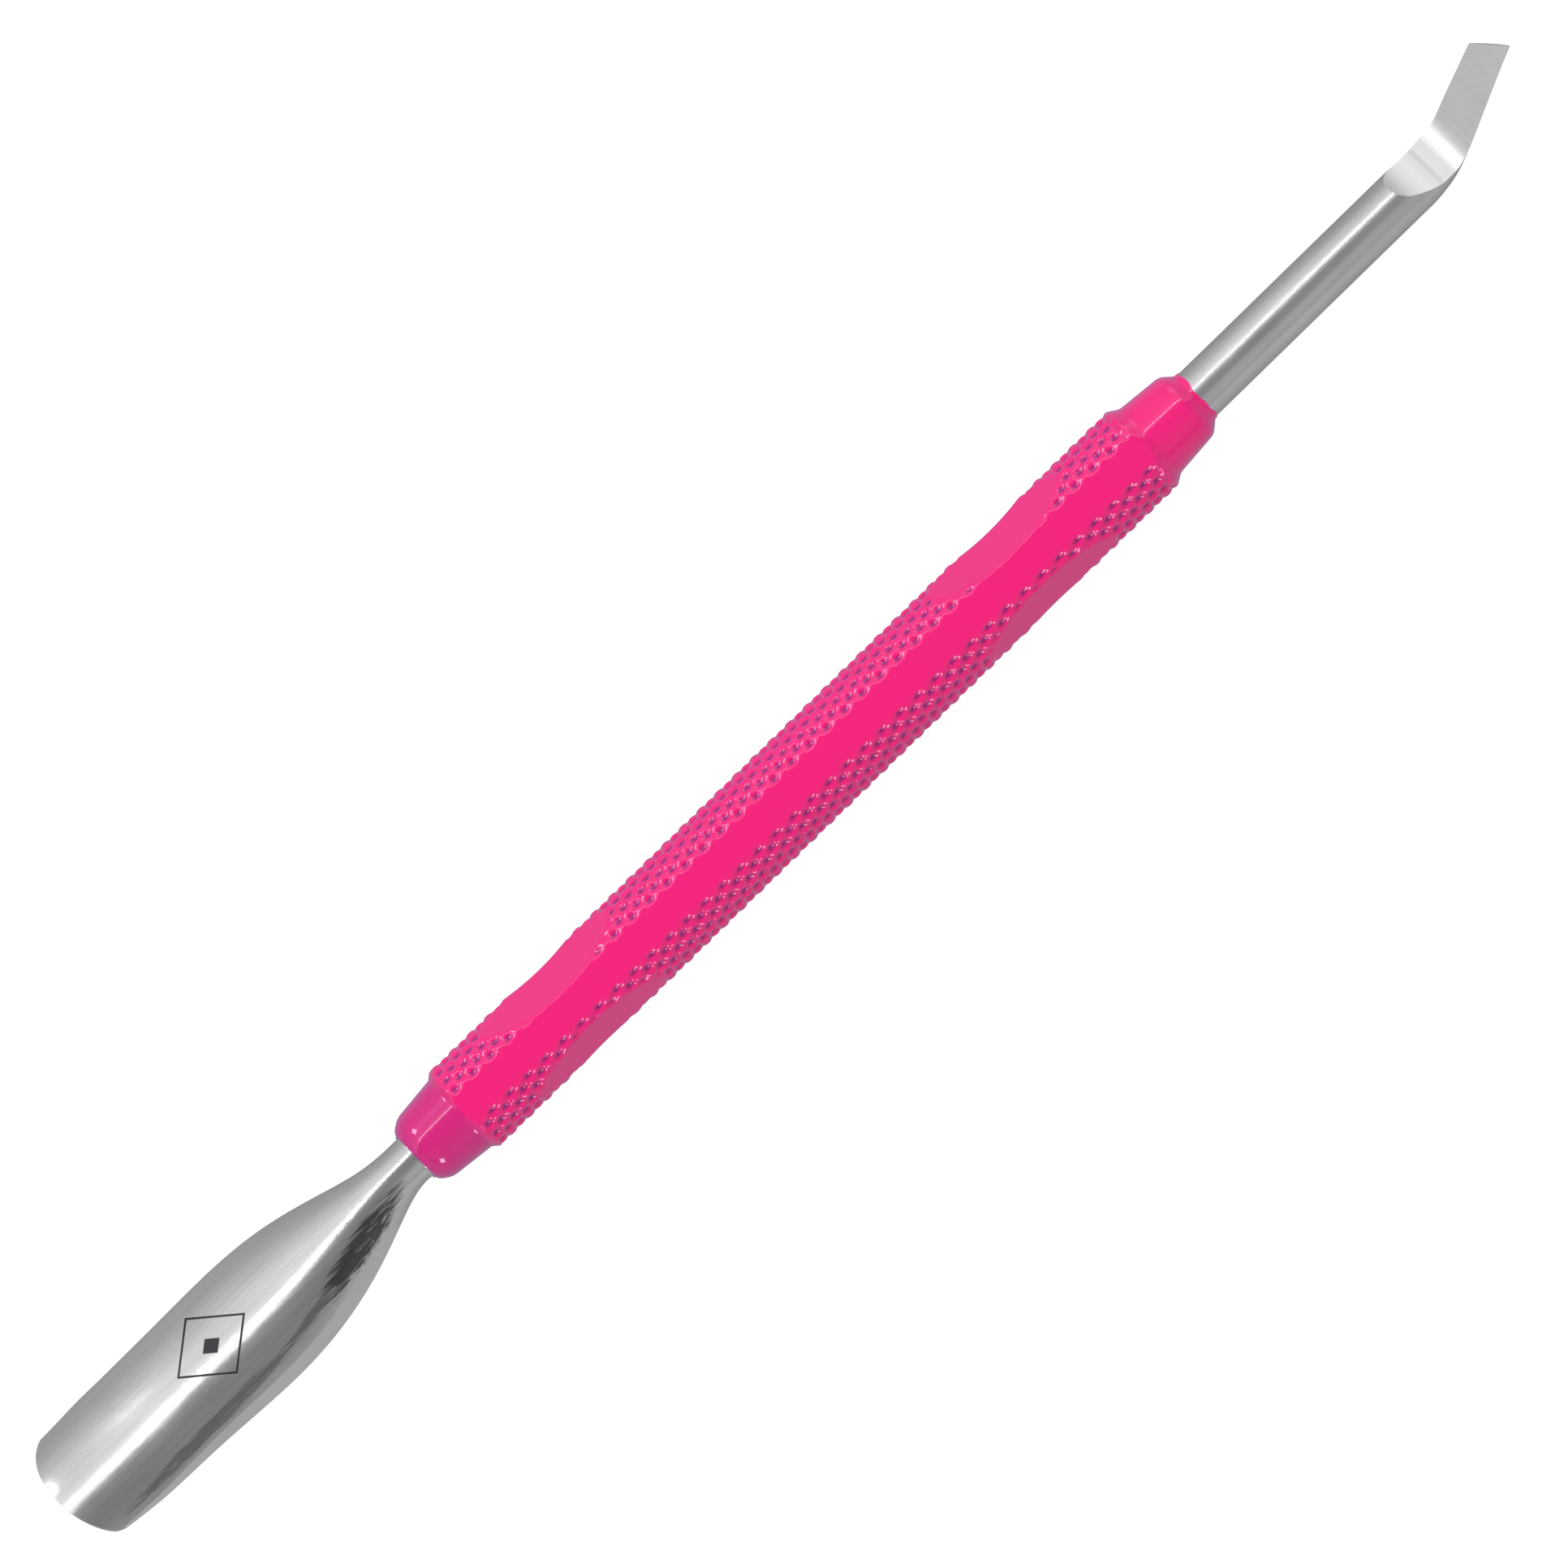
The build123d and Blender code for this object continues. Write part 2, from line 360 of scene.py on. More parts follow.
class KnurlTree:
    """Geometry nodes that knurl, flatten and scallop a plain sleeve."""

    ROUND_INPUTS = ("Axis Height", "Flat Apothem", "Coat Thickness")
    KNURL_INPUTS = (
        "Knurl Start", "Knurl End", "Knurl Pitch", "Knurl Rows", "Knurl Phase", "Knurl Shift",
        "Groove Depth", "Pit Depth", "Groove Width",
    )
    SCALLOP_INPUTS = (
        "Crest Radius", "Scallop Length", "Spoon Scallops", "Blade Scallops",
        "Deep Angle", "Deep Depth", "Shallow Angle", "Shallow Depth",
    )
    FINISH_INPUTS = ("Edge Softness", "Unevenness", "Ragged Edge")
    CUT_MARGIN = 0.1 * MM
    RUN_IN = 0.3 * MM
    LEAST_FACING = 0.05
    NOISE_SCALE = 520.0
    NOISE_DETAIL = 2.0

    def __init__(self) -> None:
        """Build the tree with its named inputs."""
        self.tree = bpy.data.node_groups.new("knurled_coating", "GeometryNodeTree")
        face = self.tree.interface
        face.new_socket("Geometry", in_out="INPUT", socket_type="NodeSocketGeometry")
        names = self.ROUND_INPUTS + self.KNURL_INPUTS + self.SCALLOP_INPUTS + self.FINISH_INPUTS
        for name in names:
            face.new_socket(name, in_out="INPUT", socket_type="NodeSocketFloat")
        face.new_socket("Material", in_out="INPUT", socket_type="NodeSocketMaterial")
        face.new_socket("Geometry", in_out="OUTPUT", socket_type="NodeSocketGeometry")
        self.entry = self.node("NodeGroupInput")
        self.wire()

    def node(self, kind: str) -> bpy.types.Node:
        """Add a node of a kind to the tree."""
        return self.tree.nodes.new(kind)

    def size(self, name: str) -> Value:
        """One of the tree's named inputs."""
        return Value(self.tree, self.entry.outputs[name])

    def attribute(self, name: str) -> Value:
        """A named number carried by each point.

        Args:
            name: The attribute's name.

        Returns:
            The attribute's value.
        """
        node = self.node("GeometryNodeInputNamedAttribute")
        node.data_type = "FLOAT"
        node.inputs["Name"].default_value = name
        return Value(self.tree, node.outputs["Attribute"])

    def groove(self, phase: Value) -> Value:
        """Rounded groove once in every turn of a phase.

        Args:
            phase: Runs up by 1 from one groove to the next.

        Returns:
            1 in the middle of the groove and 0 on the pads beside it.
        """
        away = (phase.maths("FRACT") - 0.5).maths("ABSOLUTE") / self.size("Groove Width")
        return away.least(1.0).squared().taken_from(1.0).squared()

    def knurl(self, along: Value, turn: Value) -> Value:
        """Depth of the diamond knurl below its crests.

        Args:
            along: Distance from the middle of the handle.
            turn: Angle round the axis, in turns.

        Returns:
            The depth at each point.
        """
        rows = turn * self.size("Knurl Rows") - self.size("Knurl Phase")
        steps = (along - self.size("Knurl Shift")) / self.size("Knurl Pitch")
        left, right = self.groove(steps + rows * 0.5), self.groove(steps - rows * 0.5)
        crossing = left * right
        lines = left + right - crossing
        return lines * self.size("Groove Depth") + crossing * self.size("Pit Depth")

    def scallop(self, along: Value, side: Value, name: str, inset: Value) -> Value:
        """Radius left by the rollers that hollow one side's scallops.

        Args:
            along: Distance from the nearest scallop's middle.
            side: Angle round the axis from the front or rest flat's normal.
            name: Deep or Shallow.
            inset: How far inside the coating's surface to work.

        Returns:
            The largest radius that clears the roller.
        """
        depth = self.size(f"{name} Depth")
        half = self.size("Scallop Length") * 0.5
        radius = (half.squared() + depth.squared()) / (depth * 2.0)
        centre = self.size("Crest Radius") - depth + radius
        reach = ((radius + inset).squared() - along.squared()).root()
        facing = (side - self.size(f"{name} Angle")).maths("COSINE").most(self.LEAST_FACING)
        return (centre - reach) / facing

    def wire(self) -> None:
        """Lay out the rule from the plain sleeve to the finished coating."""
        position = self.node("GeometryNodeInputPosition")
        x, y, z = split_axes(self.tree, position.outputs[0])
        height = z - self.size("Axis Height")
        radius = (y.squared() + height.squared()).root()
        turn = y.maths("ARCTAN2", height) * (0.5 / math.pi)
        side = y.maths("ARCTAN2", height.maths("ABSOLUTE"))
        outside = self.attribute("outside")
        inset = outside.taken_from(1.0) * self.size("Coat Thickness")

        noise = self.node("ShaderNodeTexNoise")
        noise.inputs["Scale"].default_value = self.NOISE_SCALE
        noise.inputs["Detail"].default_value = self.NOISE_DETAIL
        waver = Value(self.tree, noise.outputs["Fac"]) - 0.5
        flat = (self.size("Flat Apothem") - inset) / side.maths("COSINE").most(self.LEAST_FACING)
        to_spoon = (x - self.size("Spoon Scallops")).maths("ABSOLUTE")
        to_blade = (x - self.size("Blade Scallops")).maths("ABSOLUTE")
        nearest = to_spoon.least(to_blade)
        limit = flat
        for name in ("Deep", "Shallow"):
            limit = limit.least(self.scallop(nearest, side, name, inset))
        crest = self.size("Crest Radius")
        uncut = (limit - crest).ramp(-self.CUT_MARGIN, 0.0) * outside
        past_start = (x - self.size("Knurl Start")).ramp(0.0, self.RUN_IN)
        before_end = (x - self.size("Knurl End")).ramp(0.0, -self.RUN_IN)
        depth = self.knurl(x, turn) * uncut * past_start * before_end
        knurled = radius - depth * (waver * self.size("Unevenness") + 1.0)
        shaped = knurled.blended_least(limit, self.size("Edge Softness"))

        new_x = x + waver * self.size("Ragged Edge") * self.attribute("run_out")
        scale = shaped / radius
        moved = self.node("ShaderNodeCombineXYZ")
        feed(self.tree, moved.inputs[0], new_x)
        feed(self.tree, moved.inputs[1], y * scale)
        feed(self.tree, moved.inputs[2], height * scale + self.size("Axis Height"))

        place = self.node("GeometryNodeSetPosition")
        store = self.node("GeometryNodeStoreNamedAttribute")
        store.data_type = "FLOAT"
        store.domain = "POINT"
        store.inputs["Name"].default_value = "pit"
        # share of the knurl's full depth at each point; the coating's material paints shade into the
        # pits from it
        share = depth / (self.size("Groove Depth") + self.size("Pit Depth"))
        smooth = self.node("GeometryNodeSetShadeSmooth")
        realize = self.node("GeometryNodeRealizeInstances")
        dress = self.node("GeometryNodeSetMaterial")
        leave = self.node("NodeGroupOutput")
        links = self.tree.links
        links.new(self.entry.outputs["Geometry"], store.inputs["Geometry"])
        feed(self.tree, store.inputs["Value"], share)
        links.new(store.outputs[0], place.inputs["Geometry"])
        links.new(moved.outputs[0], place.inputs["Position"])
        links.new(place.outputs[0], smooth.inputs["Geometry"])
        links.new(smooth.outputs[0], realize.inputs["Geometry"])
        links.new(realize.outputs[0], dress.inputs["Geometry"])
        links.new(self.entry.outputs["Material"], dress.inputs["Material"])
        links.new(dress.outputs[0], leave.inputs["Geometry"])

    def apply(self, piece: bpy.types.Object, sizes: dict[str, float],
              material: bpy.types.Material) -> None:
        """Shape a sleeve and keep the result as its plain mesh.

        Args:
            piece: The object that holds the plain sleeve.
            sizes: A number for each of the tree's named inputs.
            material: The coating's material.
        """
        modifier = piece.modifiers.new("knurled_coating", "NODES")
        modifier.node_group = self.tree
        for item in self.tree.interface.items_tree:
            if item.in_out == "INPUT" and item.name in sizes:
                modifier[item.identifier] = sizes[item.name]
            if item.in_out == "INPUT" and item.name == "Material":
                modifier[item.identifier] = material
        bpy.context.view_layer.update()
        depsgraph = bpy.context.evaluated_depsgraph_get()
        shaped = bpy.data.meshes.new_from_object(
            piece.evaluated_get(depsgraph), preserve_all_data_layers=True, depsgraph=depsgraph
        )
        piece.modifiers.clear()
        piece.data = shaped


# ---- Finishes ----
class Finish:
    """A material and the tools that its nodes are made with."""

    def __init__(self, name: str) -> None:
        """Start a material with an empty Principled surface.

        Args:
            name: The material's name.
        """
        self.material = bpy.data.materials.new(name)
        self.material.use_nodes = True
        self.tree = self.material.node_tree
        self.surface = self.tree.nodes["Principled BSDF"]

    def set(self, **settings: float) -> None:
        """Set constant inputs of the surface, named with underscores for spaces."""
        for name, value in settings.items():
            self.surface.inputs[name.replace("_", " ")].default_value = value

    def coordinates(self, stretch: Stretch) -> bpy.types.NodeSocket:
        """Object coordinates, stretched along the axes.

        Args:
            stretch: How many pattern units fit in a metre along each axis.

        Returns:
            The vector socket.
        """
        place = self.tree.nodes.new("ShaderNodeTexCoord")
        stretched = self.tree.nodes.new("ShaderNodeMapping")
        stretched.inputs["Scale"].default_value = stretch
        self.tree.links.new(place.outputs["Object"], stretched.inputs["Vector"])
        return stretched.outputs[0]

    def noise(self, vector: bpy.types.NodeSocket, detail: float = 3.0) -> Value:
        """Noise from 0 to 1 on a vector.

        Args:
            vector: The coordinates that the noise is read at.
            detail: Octaves of finer noise.

        Returns:
            The noise.
        """
        node = self.tree.nodes.new("ShaderNodeTexNoise")
        node.inputs["Scale"].default_value = 1.0
        node.inputs["Detail"].default_value = detail
        self.tree.links.new(vector, node.inputs["Vector"])
        return Value(self.tree, node.outputs["Fac"])

    def place(self) -> tuple[Value, Value, Value]:
        """Object coordinates, as x, y and z in metres."""
        node = self.tree.nodes.new("ShaderNodeTexCoord")
        return split_axes(self.tree, node.outputs["Object"])

    def facing(self, direction: tuple[float, float, float]) -> Value:
        """How squarely the surface faces a direction.

        Args:
            direction: The direction, of length 1.

        Returns:
            The cosine of the angle between them.
        """
        geometry = self.tree.nodes.new("ShaderNodeNewGeometry")
        node = self.tree.nodes.new("ShaderNodeVectorMath")
        node.operation = "DOT_PRODUCT"
        node.inputs[1].default_value = direction
        self.tree.links.new(geometry.outputs["Normal"], node.inputs[0])
        return Value(self.tree, node.outputs["Value"])

    def tint(self, share: Value, low: "Colour | bpy.types.NodeSocket",
             high: "Colour | bpy.types.NodeSocket") -> bpy.types.NodeSocket:
        """Mix two colours.

        Args:
            share: 0 for the first colour and 1 for the second.
            low: The first colour, or the socket that gives it.
            high: The second colour, or the socket that gives it.

        Returns:
            The mixed colour's socket.
        """
        node = self.tree.nodes.new("ShaderNodeMix")
        node.data_type = "RGBA"
        feed(self.tree, node.inputs["Factor"], share)
        for entry, colour in zip([e for e in node.inputs if e.type == "RGBA"], (low, high)):
            if isinstance(colour, bpy.types.NodeSocket):
                self.tree.links.new(colour, entry)
            else:
                entry.default_value = (*colour, 1.0)
        return [output for output in node.outputs if output.type == "RGBA"][0]

    def bump(self, height: Value, distance: float, strength: float) -> None:
        """Raise fine relief on the surface.

        Args:
            height: The relief, from 0 to 1.
            distance: How high 1 stands, in metres.
            strength: Share of the relief that shows.
        """
        node = self.tree.nodes.new("ShaderNodeBump")
        node.inputs["Distance"].default_value = distance
        node.inputs["Strength"].default_value = strength
        feed(self.tree, node.inputs["Height"], height)
        self.tree.links.new(node.outputs["Normal"], self.surface.inputs["Normal"])

    def link(self, name: str, source: "Value | bpy.types.NodeSocket") -> None:
        """Link a value or a socket to one of the surface's inputs."""
        socket = source.socket if isinstance(source, Value) else source
        self.tree.links.new(socket, self.surface.inputs[name])


@dataclass(frozen=True)
class DippedCoating:
    """Glossy pink coating with painted shade in the knurl's pits, and a darker base colour toward
    the spoon end.
    """

    pad: Colour = (0.92, 0.004, 0.165)
    # painted shade: the darker purple laid into the knurl's pits
    pit: Colour = (0.28, 0.001, 0.14)
    # darker, more magenta base colour toward the spoon end
    darker_spoon_end: Colour = (0.68, 0.008, 0.165)
    darker_from: float = -32.2 * MM
    darker_to: float = -32.8 * MM
    pit_shade: float = 0.95
    roughness: float = 0.1
    roughness_spread: float = 0.12
    cloud: Stretch = (260.0, 260.0, 260.0)
    runs: Stretch = (90.0, 600.0, 600.0)
    run_depth: float = 0.004 * MM
    gleam: Colour = (0.85, 0.7, 1.0)
    haze: Colour = (0.45, 0.25, 1.0)

    def make(self) -> bpy.types.Material:
        """Build the material's nodes.

        Returns:
            The material.
        """
        finish = Finish("grip_coating")
        depth = finish.tree.nodes.new("ShaderNodeAttribute")
        depth.attribute_name = "pit"
        share = Value(finish.tree, depth.outputs["Fac"])
        x, _, _ = finish.place()
        # darker, more magenta base colour toward the spoon end
        darker_spoon_end = x.ramp(self.darker_from, self.darker_to)
        cloud = finish.noise(finish.coordinates(self.cloud))
        # painted shade in the knurl's pits, mixed with a little random mottle
        shade = share.ramp(0.4, 1.0) * self.pit_shade + cloud * (1.0 - self.pit_shade)
        coat = finish.tint(darker_spoon_end, self.pad, self.darker_spoon_end)
        finish.link("Base Color", finish.tint(shade, coat, self.pit))
        finish.link("Roughness", cloud * self.roughness_spread + self.roughness)
        runs = finish.noise(finish.coordinates(self.runs), detail=1.0)
        finish.bump(runs, distance=self.run_depth, strength=0.5)
        finish.set(Coat_Weight=0.8, Coat_Roughness=0.04, Specular_IOR_Level=0.3)
        finish.set(Sheen_Weight=0.3, Sheen_Roughness=0.5, Sheen_Tint=(*self.haze, 1.0))
        finish.set(Specular_Tint=(*self.gleam, 1.0), Coat_Tint=(*self.gleam, 1.0))
        return finish.material


@dataclass(frozen=True)
class BrushedSteel:
    """Stainless steel with fine marks that all run one way."""

    name: str
    colour: Colour = (0.62, 0.62, 0.63)
    roughness: float = 0.24
    grain: Grain = Grain.ALONG
    mark_depth: float = 0.002 * MM
    drawn_out: float = 60.0
    close: float = 5200.0
    cloud: Stretch = (180.0, 420.0, 420.0)
    shaded: float = 0.88

    def marks(self, finish: Finish, grain: Grain) -> Value:
        """Fine marks drawn out one way.

        Args:
            finish: The finish that they belong to.
            grain: The way that they run.

        Returns:
            The marks, from 0 to 1.
        """
        stretch = {
            Grain.ALONG: (self.drawn_out, self.close, self.close),
            Grain.ACROSS: (self.close, self.drawn_out, self.drawn_out),
        }[grain]
        return finish.noise(finish.coordinates(stretch), detail=4.0)

    def mottled(self, finish: Finish, marks: Value, cloud: Value,
                share: float = 0.6) -> bpy.types.NodeSocket:
        """The steel's colour, a little darker in places.

        Args:
            finish: The finish that it belongs to.
            marks: The fine marks, from 0 to 1.
            cloud: Slow changes, from 0 to 1.
            share: How much of the change follows the marks.

        Returns:
            The colour's socket.
        """
        low = tuple(self.shaded * c for c in self.colour)
        mottle = (marks * share + cloud * (1.0 - share)).ramp(0.3, 0.7)
        return finish.tint(mottle, low, self.colour)

    def make(self) -> bpy.types.Material:
        """Build the material's nodes.

        Returns:
            The material.
        """
        finish = Finish(self.name)
        marks = self.marks(finish, self.grain)
        cloud = finish.noise(finish.coordinates(self.cloud))
        finish.link("Base Color", self.mottled(finish, marks, cloud))
        finish.link("Roughness", marks * 0.1 + cloud * 0.1 + (self.roughness - 0.1))
        finish.bump(marks, distance=self.mark_depth, strength=0.5)
        finish.set(Metallic=1.0)
        return finish.material


@dataclass(frozen=True)
class GroundBlade(BrushedSteel):
    """Drawn round shank that ends in a face ground crosswise."""

    roll: float = math.radians(33)
    grind_start: float = 56.1 * MM
    crease: float = 59.25 * MM
    crease_marks: float = 0.5 * MM
    crease_reach: float = 0.6 * MM
    ground_colour: Colour = (0.72, 0.72, 0.73)
    ground_roughness: float = 0.4
    wheel_lines: Stretch = (2600.0, 60.0, 60.0)

    def make(self) -> bpy.types.Material:
        """Build the material's nodes.

        Returns:
            The material.
        """
        finish = Finish(self.name)
        x, _, _ = finish.place()
        across = (0.0, math.cos(self.roll), -math.sin(self.roll))
        up = (0.0, math.sin(self.roll), math.cos(self.roll))
        ground = finish.facing(across).maths("ABSOLUTE").ramp(0.14, 0.08)
        ground = ground * finish.facing(up).ramp(0.2, 0.35)
        ground = ground * x.ramp(self.grind_start - 0.1 * MM, self.grind_start + 0.05 * MM)
        round_part = ground.taken_from(1.0)
        drawn = self.marks(finish, Grain.ALONG)
        wheel = self.marks(finish, Grain.ACROSS)
        cloud = finish.noise(finish.coordinates(self.cloud))
        coarse = finish.noise(finish.coordinates(self.wheel_lines), detail=2.0)
        from_crease = (x - (self.crease - self.crease_marks)).maths("ABSOLUTE")
        near_crease = from_crease.ramp(self.crease_reach, 0.1 * MM)
        lines = coarse.ramp(0.52, 0.62) * near_crease * 0.35
        drawn_colour = self.mottled(finish, drawn, cloud)
        dull = tuple(0.75 * c for c in self.ground_colour)
        ground_tint = finish.tint(wheel.ramp(0.2, 0.8) * 0.3 + lines, self.ground_colour, dull)
        finish.link("Base Color", finish.tint(ground, drawn_colour, ground_tint))
        gloss = round_part * self.roughness + ground * self.ground_roughness
        finish.link("Roughness", gloss + (cloud - 0.5) * 0.1)
        relief = drawn * round_part + wheel * ground
        finish.bump(relief, distance=self.mark_depth, strength=0.5)
        finish.set(Metallic=1.0)
        return finish.material


@dataclass(frozen=True)
class DarkPatch:
    """An oval dark patch on the steel, seen from above; the spoon uses it for file marks and for
    painted shade.
    """

    centre: tuple[float, float]
    reach: tuple[float, float]
    slant: float
    strength: float

    def share(self, x: Value, y: Value, streaks: Value) -> Value:
        """How dark the patch makes the steel.

        Args:
            x: Distance along the tool.
            y: Distance across it.
            streaks: Drawn-out noise that breaks the patch up.

        Returns:
            0 off the patch, up to the patch's strength.
        """
        right, up = x - self.centre[0], y - self.centre[1]
        cosine, sine = math.cos(self.slant), math.sin(self.slant)
        along = (right * cosine + up * sine) / self.reach[0]
        beside = (up * cosine - right * sine) / self.reach[1]
        middle = (along.squared() + beside.squared()).ramp(1.0, 0.0)
        broken = (middle + (streaks - 0.5) * 2.4).ramp(0.1, 0.9)
        return broken * middle.ramp(0.0, 0.3) * self.strength


@dataclass(frozen=True)
class ForgedSpoon(BrushedSteel):
    """Polished spoon with a plain etched lozenge, file marks by its neck and painted shade along the
    crease by its rim.
    """

    cloud: Stretch = (140.0, 420.0, 420.0)
    patch_grain: Stretch = (420.0, 7000.0, 7000.0)
    shaded: float = 0.9
    mark_centre: tuple[float, float] = (-55.7 * MM, 0.5 * MM)
    mark_reach: tuple[float, float] = (3.1 * MM, 2.5 * MM)
    mark_line: float = 0.1 * MM
    mark_heart: float = 0.26
    etched: Colour = (0.045, 0.045, 0.05)
    # near-black colour of the file marks and of the painted shade along the crease
    filed_and_shaded: Colour = (0.07, 0.07, 0.07)
    # dark patches along the lower crease: file marks by the neck, painted shade along the crease
    # toward the tip
    scuffs_and_crease_shade: tuple[DarkPatch, ...] = (
        DarkPatch((-43.8 * MM, -1.75 * MM), (6.4 * MM, 1.1 * MM), math.radians(12), 0.95),
        DarkPatch((-58.6 * MM, -3.45 * MM), (11.5 * MM, 0.6 * MM), math.radians(1.5), 0.6),
        DarkPatch((-48.0 * MM, -2.6 * MM), (6.0 * MM, 0.45 * MM), math.radians(9), 0.6),
    )

    def etched_mark(self, x: Value, y: Value) -> Value:
        """The etched lozenge: one thin outline round a small solid one.

        Args:
            x: Distance along the tool.
            y: Distance across it.

        Returns:
            1 on the mark and 0 off it.
        """
        along = (x - self.mark_centre[0]).maths("ABSOLUTE") / self.mark_reach[0]
        beside = (y - self.mark_centre[1]).maths("ABSOLUTE") / self.mark_reach[1]
        size = along + beside
        line_share = self.mark_line / self.mark_reach[1]
        outline = (size - 1.0).maths("ABSOLUTE").ramp(line_share * 1.3, line_share * 0.7)
        heart = size.ramp(self.mark_heart + 0.02, self.mark_heart - 0.02)
        return outline.most(heart)

    def darkened_patches(self, finish: Finish, x: Value, y: Value) -> Value:
        """All the dark patches: file marks by the neck and painted shade along the crease.

        Args:
            finish: The finish that they belong to.
            x: Distance along the tool.
            y: Distance across it.

        Returns:
            How dark the surface is, from 0 to 1.
        """
        streaks = finish.noise(finish.coordinates(self.patch_grain), detail=4.0)
        darkest, *others = [dark_patch.share(x, y, streaks) for dark_patch in self.scuffs_and_crease_shade]
        for other in others:
            darkest = darkest.most(other)
        return darkest

    def make(self) -> bpy.types.Material:
        """Build the material's nodes.

        Returns:
            The material.
        """
        finish = Finish(self.name)
        x, y, _ = finish.place()
        back = finish.facing((0.0, 0.0, 1.0)).ramp(0.15, 0.3)
        mark = self.etched_mark(x, y) * back
        filed_and_shaded = self.darkened_patches(finish, x, y) * back
        marks = self.marks(finish, Grain.ALONG)
        cloud = finish.noise(finish.coordinates(self.cloud))
        steel = self.mottled(finish, marks, cloud, share=0.5)
        # darkens the steel on the patches: file marks and painted shade
        scuffed_and_shaded = finish.tint(filed_and_shaded, steel, self.filed_and_shaded)
        finish.link("Base Color", finish.tint(mark, scuffed_and_shaded, self.etched))
        dull = mark.most(filed_and_shaded * 0.7)
        finish.link("Roughness", dull * 0.3 + marks * 0.08 + cloud * 0.08 + (self.roughness - 0.08))
        relief = marks * 0.5 - mark * 0.5 - filed_and_shaded * 0.3
        finish.bump(relief, distance=2 * self.mark_depth, strength=0.5)
        finish.set(Metallic=1.0)
        return finish.material


